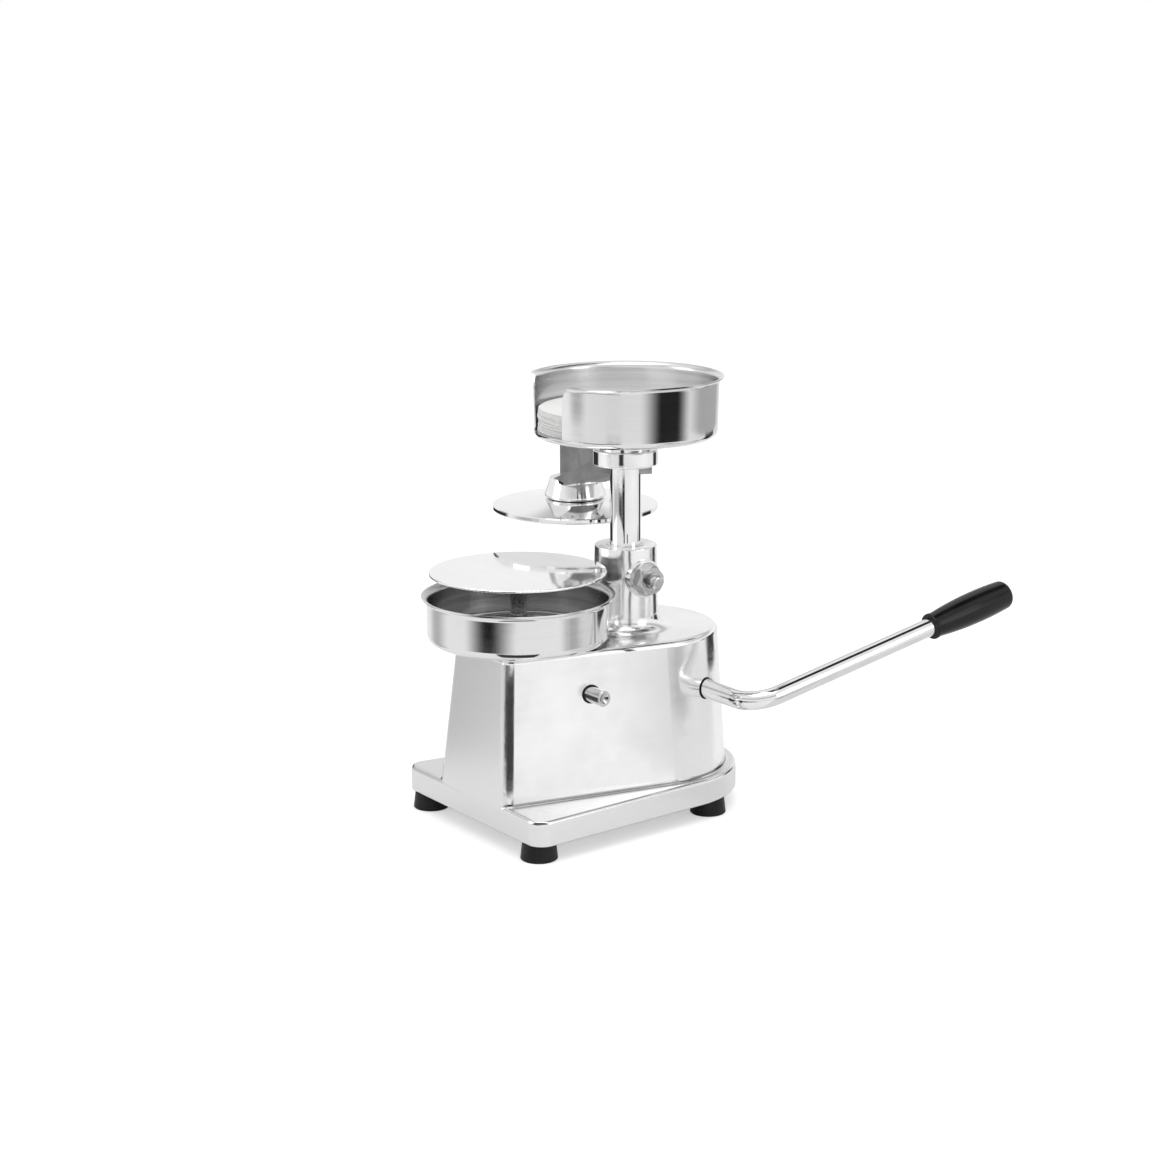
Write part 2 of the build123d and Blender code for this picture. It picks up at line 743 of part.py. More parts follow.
with BuildPart() as crank_arm:
    with BuildSketch(Plane.YZ.offset(crank_x)):
        with Locations((shaft_y, shaft_z)):
            Circle(13.0)
        with Locations((pin_y, pin_z)):
            Circle(crank_eye_r)
        make_hull()
        with Locations((shaft_y, shaft_z)):
            Circle(rod_r, mode=Mode.SUBTRACT)
        with Locations((pin_y, pin_z)):
            Circle(crank_pin_r, mode=Mode.SUBTRACT)
    extrude(amount=crank_thick)
    # Tapped hole of the clamp screw, on the side away from the pin
    with BuildSketch(Plane.XY.offset(shaft_z - 20)):
        with Locations((crank_x + crank_thick / 2, shaft_y)):
            Circle(2.5)
    extrude(amount=14, mode=Mode.SUBTRACT)
save(crank_arm.part, "crank_arm")

with BuildPart() as crank_clamp_screw:
    with BuildSketch(Plane.XY.offset(shaft_z - 12.6)):
        with Locations((crank_x + crank_thick / 2, shaft_y)):
            Circle(2.5)
    extrude(amount=12.6 - rod_r)
    with BuildSketch(Plane.XY.offset(shaft_z - 12.6)):
        with Locations((crank_x + crank_thick / 2, shaft_y)):
            RegularPolygon(1.25, 6, major_radius=False)
    extrude(amount=2.4, mode=Mode.SUBTRACT)
save(crank_clamp_screw.part, "crank_clamp_screw")

with BuildPart() as crank_pin:
    with BuildSketch(Plane.YZ.offset(fork_x - 1.7)):
        with Locations((pin_y, pin_z)):
            Circle(crank_pin_r)
    extrude(amount=crank_x + crank_thick - fork_x + 1.7)
    # Groove of the clip
    with BuildSketch(Plane.YZ.offset(fork_x - 1.1)):
        with Locations((pin_y, pin_z)):
            Circle(crank_pin_r + 1)
            Circle(crank_pin_r - 0.7, mode=Mode.SUBTRACT)
    extrude(amount=0.8, mode=Mode.SUBTRACT)
save(crank_pin.part, "crank_pin")

with BuildPart() as crank_roller:
    with BuildSketch(Plane.YZ.offset(fork_x)):
        with Locations((pin_y, pin_z)):
            Circle(roller_r)
            Circle(crank_pin_r + running_gap, mode=Mode.SUBTRACT)
    extrude(amount=fork_thick + 1.6)
save(crank_roller.part, "crank_roller")

with BuildPart() as crank_clip:
    with BuildSketch(Plane.YZ.offset(fork_x - 1.1)):
        with Locations((pin_y, pin_z)):
            Circle(crank_pin_r + 1.3)
            Circle(crank_pin_r - 0.7, mode=Mode.SUBTRACT)
        with Locations((pin_y + 4, pin_z)):
            Rectangle(8.0, 4.6, mode=Mode.SUBTRACT)
    extrude(amount=0.8)
save(crank_clip.part, "crank_clip")


# ---------------------------------------------------------------- stop pin
with BuildPart() as stop_pin:
    with BuildSketch(Plane.YZ.offset(-44.0)):
        with Locations((stop_y, stop_z)):
            Circle(stop_r)
    extrude(amount=stop_end_x + 44.0)
    chamfer(stop_pin.edges().group_by(Axis.X)[-1], 0.5)
    # Clip grooves beside the two inner bosses
    for side in (1, -1):
        with BuildSketch(Plane.YZ.offset(side * (stop_boss_x - 0.2))):
            with Locations((stop_y, stop_z)):
                Circle(stop_r + 1)
                Circle(stop_r - 0.8, mode=Mode.SUBTRACT)
        extrude(amount=-side * 1.0, mode=Mode.SUBTRACT)
    # Turning centre in the outer end
    with BuildSketch(Plane.XY.offset(stop_z)):
        with BuildLine():
            Polyline(
                (stop_end_x + 0.5, stop_y),
                (stop_end_x + 0.5, stop_y + 4.2),
                (stop_end_x - 3.4, stop_y + 0.9),
                (stop_end_x - 5.2, stop_y + 0.9),
                (stop_end_x - 5.2, stop_y),
                close=True,
            )
        make_face()
    revolve(axis=Axis((0, stop_y, stop_z), (1, 0, 0)), mode=Mode.SUBTRACT)
save(stop_pin.part, "stop_pin")

with BuildPart() as stop_pin_grommet:
    with BuildSketch(Plane.YZ.offset(46.0)):
        with Locations((stop_y, stop_z)):
            Circle(stop_r + 1.2)
            Circle(stop_r, mode=Mode.SUBTRACT)
    extrude(amount=20)
    add(body_outline.part, mode=Mode.INTERSECT)
save(stop_pin_grommet.part, "stop_pin_grommet")

with BuildPart() as stop_sleeve:
    with BuildSketch(Plane.YZ.offset(-9.0)):
        with Locations((stop_y, stop_z)):
            Circle(stop_sleeve_r)
            Circle(stop_r, mode=Mode.SUBTRACT)
    extrude(amount=18.0)
save(stop_sleeve.part, "stop_sleeve")

with BuildPart() as stop_pin_clips:
    for side in (1, -1):
        with BuildSketch(Plane.YZ.offset(side * (stop_boss_x - 0.2))):
            with Locations((stop_y, stop_z)):
                Circle(stop_r + 2.6)
                Circle(stop_r - 0.8, mode=Mode.SUBTRACT)
            with Locations((stop_y + 6, stop_z)):
                Rectangle(12.0, 8.0, mode=Mode.SUBTRACT)
        extrude(amount=-side * 1.0)
save(stop_pin_clips.part, "stop_pin_clips")


# ---------------------------------------------------------------- head casting
head_turn = Rotation(0, 0, head_angle)
plate_top_z = plate_z + plate_edge + plate_rise + 0.15
with BuildPart() as head_casting:
    # Sloping arm, seen from the side: it leaves the hub low and ends on the boss over the plate
    with BuildSketch(Plane.XZ.offset(-head_boss_r)):
        with BuildLine():
            Polyline(
                (web_start, hub_z + 1),
                (web_start, hub_z - 9),
                (web_start + 11, hub_z - 12),
                (bowl_offset - head_boss_top_r + 1, head_boss_top_z - 2.5),
                (bowl_offset + 5, head_boss_top_z - 2.5),
                (bowl_offset, head_boss_top_z),
                (42, hub_z - 7),
                (24, hub_z + 1),
                close=True,
            )
        make_face()
    extrude(amount=2 * head_boss_r)
    with BuildSketch(Plane.XY.offset(head_boss_top_z - 5)):
        with Locations((0, 0)):
            Circle(web_hub_r)
        with Locations((bowl_offset, 0)):
            Circle(web_boss_r)
        make_hull()
    extrude(amount=60, mode=Mode.INTERSECT)
    # Tapered boss over the plate
    with Locations((bowl_offset, 0, plate_top_z)):
        Cone(
            head_boss_r,
            head_boss_top_r,
            head_boss_top_z - plate_top_z,
            align=(Align.CENTER, Align.CENTER, Align.MIN),
        )
    boss_rims = head_casting.edges().filter_by(GeomType.CIRCLE)
    fillet(boss_rims.group_by(Axis.Z)[0], 2.0)
    # Upright fin
    with BuildSketch(Plane.XZ.offset(-fin_half)):
        with BuildLine():
            Polyline(
                (10, hub_z - 6),
                (26, hub_z - 6),
                (bowl_offset - 8, head_boss_top_z - 3),
                (fin_end, head_boss_top_z - 3),
                (fin_end, hub_z + 3),
                (fin_end - 9, hub_z + hub_height - 0.6),
                (10, hub_z + hub_height - 0.6),
                close=True,
            )
        make_face()
    extrude(amount=2 * fin_half)
    fin_rims = [e for e in head_casting.edges() if abs(abs(e.center().Y) - fin_half) < 0.01]
    fillet([e for e in fin_rims if e.center().Z > hub_z + 2 and e.center().X > hub_r], fin_edge_r)
    # Hub and neck
    with BuildSketch(Plane.XZ) as hub_profile:
        with Locations((hub_r / 2, hub_z + hub_height / 2)):
            Rectangle(hub_r, hub_height)
        fillet(hub_profile.vertices().group_by(Axis.X)[-1], hub_edge_r)
        with Locations((neck_r / 2, (hub_z + neck_top_z) / 2)):
            Rectangle(neck_r, neck_top_z - hub_z)
    revolve(axis=Axis.Z)
    # Lug of the clamp screw, behind the column
    with BuildSketch(Plane.XY.offset(hub_z - 7.2)):
        with Locations(Location((0, 0), -100)):
            with Locations((13.0, 0)):
                RectangleRounded(12.0, 12.0, 2.0)
    extrude(amount=8)
    # Bore
    with BuildSketch(Plane.XY.offset(hub_z - 20)):
        Circle(column_r)
    extrude(amount=60, mode=Mode.SUBTRACT)
    # Tapped hole for the clamp screw
    with BuildSketch(Plane.YZ.rotated((0, 0, -100))):
        with Locations((0, clamp_screw_z)):
            Circle(3.0)
    extrude(amount=30, mode=Mode.SUBTRACT)
    # Tapped hole for the plate screw
    with BuildSketch(Plane.XY.offset(plate_top_z)):
        with Locations((bowl_offset, 0)):
            Circle(4.0)
    extrude(amount=15, mode=Mode.SUBTRACT)
save(head_turn * head_casting.part, "head_casting")

with BuildPart() as head_clamp_screw:
    with BuildSketch(Plane.YZ.rotated((0, 0, -100)).offset(column_r)):
        with Locations((0, clamp_screw_z)):
            Circle(3.0)
    extrude(amount=7.0)
    with BuildSketch(Plane.YZ.rotated((0, 0, -100)).offset(column_r + 4.0)):
        with Locations((0, clamp_screw_z)):
            RegularPolygon(1.5, 6, major_radius=False)
    extrude(amount=5.0, mode=Mode.SUBTRACT)
save(head_turn * head_clamp_screw.part, "head_clamp_screw")


# ---------------------------------------------------------------- press plate
plate_top_edge = plate_z + plate_edge
with BuildPart() as press_plate:
    with BuildSketch(Plane.XZ):
        with BuildLine():
            Polyline(
                (bowl_offset, plate_z),
                (bowl_offset + plate_r - 1.2, plate_z),
                (bowl_offset + plate_r, plate_z + 1.2),
                (bowl_offset + plate_r, plate_top_edge - 0.6),
                (bowl_offset + plate_r - 0.6, plate_top_edge),
                (bowl_offset + plate_hub_r + 3.0, plate_top_edge + plate_rise),
                (bowl_offset + plate_hub_r, plate_top_edge + plate_rise),
                (bowl_offset + plate_hub_r, plate_top_z),
                (bowl_offset, plate_top_z),
                close=True,
            )
        make_face()
    revolve(axis=Axis((bowl_offset, 0, 0), (0, 0, 1)))
    # Countersunk hole from below
    with BuildSketch(Plane.XY.offset(plate_z - 1)):
        with Locations((bowl_offset, 0)):
            Circle(4.0)
    extrude(amount=30, mode=Mode.SUBTRACT)
    with Locations((bowl_offset, 0, plate_z)):
        Cone(8.2, 4.0, 4.2, align=(Align.CENTER, Align.CENTER, Align.MIN), mode=Mode.SUBTRACT)
save(head_turn * press_plate.part, "press_plate")

with BuildPart() as plate_screw:
    with Locations((bowl_offset, 0, plate_z)):
        Cone(8.2, 4.0, 4.2, align=(Align.CENTER, Align.CENTER, Align.MIN))
    with Locations((bowl_offset, 0, plate_z + 4.2)):
        Cylinder(4.0, plate_top_z - plate_z + 8.0, align=(Align.CENTER, Align.CENTER, Align.MIN))
    with BuildSketch(Plane.XY.offset(plate_z)):
        with Locations((bowl_offset, 0)):
            RegularPolygon(2.5, 6, major_radius=False)
    extrude(amount=3.4, mode=Mode.SUBTRACT)
save(head_turn * plate_screw.part, "plate_screw")


# ---------------------------------------------------------------- paper tray
with BuildPart() as tray_gasket:
    with BuildSketch(Plane.XY.offset(neck_top_z)):
        Circle(neck_r + 2.5)
        Circle(tray_dimple_r + 0.6, mode=Mode.SUBTRACT)
    extrude(amount=tray_floor_z - neck_top_z)
save(tray_gasket.part, "tray_gasket")

dimple_z = tray_floor_z - tray_dimple
with BuildPart() as paper_tray:
    with BuildSketch(Plane.XZ):
        with BuildLine():
            hole_edge = Line((4.0, dimple_z + tray_sheet), (4.0, dimple_z))
            dimple_out = Line(hole_edge @ 1, (tray_dimple_r, dimple_z))
            dimple_wall = Line(dimple_out @ 1, (tray_dimple_r, tray_floor_z))
            floor_low = Line(dimple_wall @ 1, (tray_foot_r - tray_corner_r, tray_floor_z))
            corner_low = TangentArc(
                floor_low @ 1,
                (tray_foot_r, tray_floor_z + tray_corner_r),
                tangent=(1, 0),
            )
            side_low = Line(corner_low @ 1, (tray_wall_r, tray_rim_z - tray_sheet - tray_lip))
            lip_low = TangentArc(
                side_low @ 1,
                (tray_wall_r + tray_lip, tray_rim_z - tray_sheet),
                tangent=(0, 1),
            )
            rim_edge = Line(lip_low @ 1, (tray_wall_r + tray_lip, tray_rim_z))
            lip_high = TangentArc(
                rim_edge @ 1,
                (tray_wall_r - tray_sheet, tray_rim_z - tray_sheet - tray_lip),
                tangent=(-1, 0),
            )
            side_high = Line(lip_high @ 1, (tray_foot_r - tray_sheet, tray_floor_z + tray_corner_r))
            corner_high = TangentArc(
                side_high @ 1,
                (tray_foot_r - tray_corner_r, tray_floor_z + tray_sheet),
                tangent=(0, -1),
            )
            floor_high = Line(corner_high @ 1, (tray_dimple_r - tray_sheet, tray_floor_z + tray_sheet))
            dimple_in = Line(floor_high @ 1, (tray_dimple_r - tray_sheet, dimple_z + tray_sheet))
            Line(dimple_in @ 1, hole_edge @ 0)
        make_face()
    revolve(axis=Axis.Z)
    # Pick-up opening in the wall: a sector cut down to a low sill
    slot_mid = (slot_from + slot_to) / 2
    slot_half = (slot_to - slot_from) / 2
    reach = tray_wall_r + tray_lip + 4
    with BuildSketch(Plane.XY.offset(tray_floor_z + slot_sill + tray_sheet)):
        with BuildLine():
            Polyline(
                (0, 0),
                (1.6 * reach * cos(radians(slot_from)), 1.6 * reach * sin(radians(slot_from))),
                (2.2 * reach * cos(radians(slot_mid)), 2.2 * reach * sin(radians(slot_mid))),
                (1.6 * reach * cos(radians(slot_to)), 1.6 * reach * sin(radians(slot_to))),
                close=True,
            )
        make_face()
        Circle(tray_foot_r - 9, mode=Mode.SUBTRACT)
    extrude(amount=tray_rim_z, mode=Mode.SUBTRACT)
    # Rounded upper corners of the opening
    corner_points = [
        (slot_corner_w * (1 - cos(radians(a))), tray_rim_z - slot_corner_h * (1 - sin(radians(a))))
        for a in range(0, 91, 9)
    ]
    for corner_angle, turn in ((slot_from, -1), (slot_to, 1)):
        corner_plane = Plane(
            origin=(0, 0, 0),
            x_dir=(-sin(radians(corner_angle)) * turn, cos(radians(corner_angle)) * turn, 0),
            z_dir=(cos(radians(corner_angle)), sin(radians(corner_angle)), 0),
        )
        up = corner_plane.y_dir.Z
        with BuildSketch(corner_plane.offset(tray_foot_r - 9)):
            with BuildLine():
                Polyline(
                    (slot_corner_w, up * (tray_rim_z + 2)),
                    (-1.0, up * (tray_rim_z + 2)),
                    (-1.0, up * (tray_rim_z - slot_corner_h)),
                    *[(corner_x, up * corner_z) for corner_x, corner_z in corner_points],
                    close=True,
                )
            make_face()
        extrude(amount=30, mode=Mode.SUBTRACT)
save(paper_tray.part, "paper_tray")

with BuildPart() as tray_screw:
    with BuildSketch(Plane.XY.offset(dimple_z + tray_sheet)):
        Circle(7.6)
    extrude(amount=2.9)
    fillet(tray_screw.edges().group_by(Axis.Z)[-1], 1.2)
    with BuildSketch(Plane.XY.offset(dimple_z + tray_sheet - 15)):
        Circle(4.0)
    extrude(amount=15)
    with BuildSketch(Plane.XY.offset(dimple_z + tray_sheet + 1.2)):
        RegularPolygon(2.5, 6, major_radius=False)
    extrude(amount=3, mode=Mode.SUBTRACT)
save(tray_screw.part, "tray_screw")

with BuildPart() as paper_stack:
    with BuildSketch(Plane.XY.offset(tray_floor_z + tray_sheet)):
        Circle(paper_r)
    extrude(amount=paper_height)
    fillet(paper_stack.edges().group_by(Axis.Z)[-1], 0.6)
    chamfer(paper_stack.edges().group_by(Axis.Z)[0], paper_curl)
save(paper_stack.part, "paper_stack")
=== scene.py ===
import math
import random

import bmesh
import bpy
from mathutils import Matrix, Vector


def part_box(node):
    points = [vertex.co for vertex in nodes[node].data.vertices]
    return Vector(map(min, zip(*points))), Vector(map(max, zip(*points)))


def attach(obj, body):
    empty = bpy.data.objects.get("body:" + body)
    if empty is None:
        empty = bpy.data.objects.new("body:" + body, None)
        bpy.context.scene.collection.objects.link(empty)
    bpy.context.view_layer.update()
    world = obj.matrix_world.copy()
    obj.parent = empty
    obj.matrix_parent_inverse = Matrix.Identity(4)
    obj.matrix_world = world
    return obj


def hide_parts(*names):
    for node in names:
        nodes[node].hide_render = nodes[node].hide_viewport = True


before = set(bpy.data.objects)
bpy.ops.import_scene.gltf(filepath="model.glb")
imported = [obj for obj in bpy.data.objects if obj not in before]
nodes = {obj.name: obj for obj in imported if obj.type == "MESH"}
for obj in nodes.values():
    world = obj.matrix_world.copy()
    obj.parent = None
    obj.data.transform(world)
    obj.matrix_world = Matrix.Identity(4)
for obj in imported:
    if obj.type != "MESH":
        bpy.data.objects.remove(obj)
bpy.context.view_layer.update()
MM = 0.001


# ---------------------------------------------------------------- places read from the frame, metres
def upright_axis(box):
    """Point at floor level under the middle of a box."""
    low, high = box
    return Vector(((low.x + high.x) / 2, (low.y + high.y) / 2, 0.0))


COLUMN_AXIS = Vector((0.0, 0.0, 0.0))
BOWL_AXIS = upright_axis(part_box("forming_bowl"))
PLATE_AXIS = upright_axis(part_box("press_plate"))
PLATE_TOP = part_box("press_plate")[1].z
TOWER_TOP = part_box("column_bush_upper")[1].z

# ---------------------------------------------------------------- where finishes change, metres
# On the base casting, each a pair of heights over which one finish, or the painted shade in the
# crease, gives way to the next
RIM_EDGE = (0.0275, 0.0305)
CREASE_START = (0.0305, 0.032)
CREASE_END = (0.038, 0.044)
LEDGE_TO_ROOF = (0.08, 0.09)
FRONT_END = (0.132, 0.136)
CEILING = (0.1325, 0.135)
CASTING_MIDDLE = (0.0, -0.03, 0.0)
# On the head casting: how far the polish of the hub and of the boss reaches
HUB_REACH = (0.0242, 0.0247)
HUB_FOOT = TOWER_TOP + 0.0592
HUB_BLUR = 0.0004
BOSS_REACH = (0.0247, 0.0252)
BOSS_EDGE = PLATE_TOP + 0.0158
BOSS_BLUR = (0.0003, 0.0002)
# On spun sheet: the face is its inside where the normal points back at the axis
INWARD = (-0.012, -0.004)
# Noise distance for one radian round an axis: small, so that the noise makes long lines
ARC_STRETCH = 0.35 * MM


# ---------------------------------------------------------------- shader helpers
class Nodes:
    """A node tree, with a short call for each kind of node."""

    def __init__(self, tree):
        self.tree = tree

    def add(self, kind, inputs=(), **settings):
        """A node; inputs are (socket, value or output) pairs."""
        node = self.tree.nodes.new(kind)
        for key, value in settings.items():
            setattr(node, key, value)
        for socket, value in inputs:
            self.put(node.inputs[socket], value)
        return node

    def put(self, socket, value):
        """Give a socket an output to follow, or a constant."""
        if isinstance(value, bpy.types.NodeSocket):
            self.tree.links.new(value, socket)
        else:
            socket.default_value = value

    def math(self, operation, first, second=0.0):
        pairs = [(0, first), (1, second)]
        return self.add("ShaderNodeMath", pairs, operation=operation).outputs[0]

    def plus(self, first, second):
        return self.math("ADD", first, second)

    def times(self, first, second):
        return self.math("MULTIPLY", first, second)

    def vector(self, operation, first, second=(0.0, 0.0, 0.0)):
        node = self.add("ShaderNodeVectorMath", [(0, first), (1, second)], operation=operation)
        return node.outputs["Value" if operation in ("LENGTH", "DOT_PRODUCT") else 0]

    def split(self, vector):
        return self.add("ShaderNodeSeparateXYZ", [(0, vector)]).outputs

    def join(self, x, y, z):
        return self.add("ShaderNodeCombineXYZ", [(0, x), (1, y), (2, z)]).outputs[0]

    def remap(self, value, low, high, to_low, to_high, **settings):
        """Value between low and high, moved to between to_low and to_high and held there."""
        pairs = [("Value", value), (1, low), (2, high), (3, to_low), (4, to_high)]
        return self.add("ShaderNodeMapRange", pairs, **settings).outputs[0]

    def rise(self, value, low, high):
        """0 up to low, 1 from high on."""
        return self.remap(value, low, high, 0.0, 1.0)

    def fall(self, value, low, high):
        """1 up to low, 0 from high on."""
        return self.remap(value, low, high, 1.0, 0.0)

    def between(self, factor, first, second):
        """Number between first and second."""
        pairs = [(0, factor), (2, first), (3, second)]
        return self.add("ShaderNodeMix", pairs, data_type="FLOAT").outputs[0]

    def blend(self, factor, first, second):
        """Colour between first and second."""
        pairs = [(0, factor), (6, first), (7, second)]
        return self.add("ShaderNodeMix", pairs, data_type="RGBA").outputs[2]


class Shader(Nodes):
    """Principled material of one kind of piece."""

    def __init__(self, name, metallic=1.0, **constants):
        self.material = bpy.data.materials.new(name)
        self.material.use_nodes = True
        super().__init__(self.material.node_tree)
        self.surface = self.tree.nodes["Principled BSDF"]
        self.surface.inputs["Metallic"].default_value = metallic
        for socket, value in constants.items():
            self.surface.inputs[socket.replace("_", " ")].default_value = value

    def place(self):
        """Point on the piece, in metres, which stays with the piece when it moves."""
        return self.add("ShaderNodeTexCoord").outputs["Object"]

    def facing(self):
        """Normal of the surface in the piece's own axes, so that it turns with the piece."""
        normal = self.add("ShaderNodeNewGeometry").outputs["Normal"]
        return self.add("ShaderNodeVectorTransform", [(0, normal)], vector_type="NORMAL",
                        convert_from="WORLD", convert_to="OBJECT").outputs[0]

    def from_axis(self, axis_point):
        """Level offset from the vertical axis through axis_point."""
        offset = self.vector("SUBTRACT", self.place(), tuple(axis_point))
        return self.vector("MULTIPLY", offset, (1.0, 1.0, 0.0))

    def around(self, axis_point):
        """Coordinates whose noise makes lines running round the axis through axis_point."""
        x, y, z = self.split(self.vector("SUBTRACT", self.place(), tuple(axis_point)))
        radius = self.math("SQRT", self.plus(self.times(x, x), self.times(y, y)))
        angle = self.math("ARCTAN2", y, x)
        return self.join(radius, z, self.times(angle, ARC_STRETCH))

    def along(self, stretch):
        """Coordinates squeezed by stretch on each axis, so that noise makes straight lines."""
        return self.vector("MULTIPLY", self.place(), stretch)

    def noise(self, vector, scale, detail=3.0, roughness=0.5):
        pairs = [("Vector", vector), ("Scale", scale), ("Detail", detail), ("Roughness", roughness)]
        return self.add("ShaderNodeTexNoise", pairs).outputs["Fac"]

    def bump(self, height, distance, strength=1.0, normal=None):
        """Height is a texture of 0 to 1; distance is what 1 stands for, in metres."""
        pairs = [("Height", height), ("Distance", distance), ("Strength", strength)]
        if normal is not None:
            pairs.append(("Normal", normal))
        return self.add("ShaderNodeBump", pairs).outputs[0]

    def finish(self, colour, roughness, normal):
        self.put(self.surface.inputs["Base Color"], colour)
        self.put(self.surface.inputs["Roughness"], roughness)
        self.put(self.surface.inputs["Normal"], normal)
        return self.material


def grey(value, blue=0.0):
    return (value, value, value + blue, 1.0)


# ---------------------------------------------------------------- metals
def spun_sheet(name, axis_point, inner_shade_dark, inner_shade_light):
    """Stainless sheet spun round an axis: smooth outside, turned lines and streaks inside, and the
    inside painted darker as shade.
    """
    s = Shader(name, Anisotropic=0.25, Anisotropic_Rotation=0.25)
    lines = s.around(axis_point)
    fine = s.noise(lines, 1500.0, 4.0, 0.65)
    broad = s.noise(lines, 230.0, 3.0, 0.6)
    haze = s.noise(s.place(), 30.0, 3.0)
    inward = s.fall(s.vector("DOT_PRODUCT", s.facing(), s.from_axis(axis_point)), *INWARD)
    tone = s.rise(s.plus(s.times(fine, 0.5), s.times(broad, 0.5)), 0.32, 0.68)
    outer = s.blend(tone, grey(0.73), grey(0.78, 0.003))
    # Inside: real turned lines, and a darker tone painted as shade of the hollow
    inner_lines_and_shade = s.blend(tone, grey(inner_shade_dark), grey(inner_shade_light, 0.003))
    colour = s.blend(inward, outer, inner_lines_and_shade)
    gloss = s.plus(s.remap(broad, 0.3, 0.7, 0.08, 0.12), s.remap(haze, 0.35, 0.7, -0.02, 0.03))
    gloss = s.plus(gloss, s.times(inward, 0.14))
    depth = s.between(inward, 0.12, 0.6)
    normal = s.bump(broad, 0.03 * MM, 0.12)
    normal = s.bump(s.times(fine, depth), 0.03 * MM, 0.5, normal)
    tangent = s.add("ShaderNodeTangent", direction_type="RADIAL", axis="Z").outputs[0]
    s.put(s.surface.inputs["Tangent"], tangent)
    return s.finish(colour, gloss, normal)


def mirror_disc(name, axis_point, tone):
    """Mirror-polished plate: faint turning rings, wiping marks and a few hairline scratches."""
    s = Shader(name)
    rings = s.noise(s.around(axis_point), 700.0, 3.0)
    wipe = s.noise(s.along((1.0, 2.6, 1.0)), 26.0, 5.0, 0.6)
    hair = s.rise(s.noise(s.along((240.0, 16.0, 1.0)), 9.0, 2.0), 0.68, 0.74)
    colour = s.blend(s.rise(wipe, 0.3, 0.75), grey(tone), grey(tone - 0.05, 0.004))
    gloss = s.plus(s.remap(wipe, 0.35, 0.75, 0.03, 0.1), s.times(hair, 0.1))
    normal = s.bump(rings, 0.004 * MM, 0.35, s.bump(wipe, 0.02 * MM, 0.3))
    return s.finish(colour, gloss, normal)


def bright_bar(name, tone, stretch, wave):
    """Ground and polished bar: lines across the bar, handling haze and a slight wave."""
    s = Shader(name)
    lines = s.noise(s.along(stretch), 1200.0, 3.0)
    haze = s.noise(s.place(), 55.0, 4.0, 0.6)
    swell = s.noise(s.place(), 30.0, 1.0)
    colour = s.blend(s.rise(haze, 0.35, 0.7), grey(tone, 0.004), grey(tone - 0.07))
    gloss = s.plus(s.remap(haze, 0.3, 0.75, 0.035, 0.11), s.remap(lines, 0.4, 0.7, 0.0, 0.03))
    normal = s.bump(lines, 0.006 * MM, 0.3, s.bump(swell, wave, 0.5))
    return s.finish(colour, gloss, normal)


def turned_steel(name, axis_point, tone):
    """Small part turned about a level axis: tool rings, slightly duller in the grooves."""
    s = Shader(name)
    x, y, z = s.split(s.vector("SUBTRACT", s.place(), tuple(axis_point)))
    radius = s.vector("LENGTH", s.join(0.0, y, z))
    rings = s.noise(s.join(radius, x, 0.0), 2600.0, 3.0)
    haze = s.noise(s.place(), 180.0, 4.0)
    shade = s.rise(s.plus(s.times(rings, 0.6), s.times(haze, 0.4)), 0.3, 0.7)
    colour = s.blend(shade, grey(tone - 0.18), grey(tone, 0.003))
    gloss = s.remap(rings, 0.3, 0.7, 0.09, 0.22)
    return s.finish(colour, gloss, s.bump(rings, 0.02 * MM, 0.5))


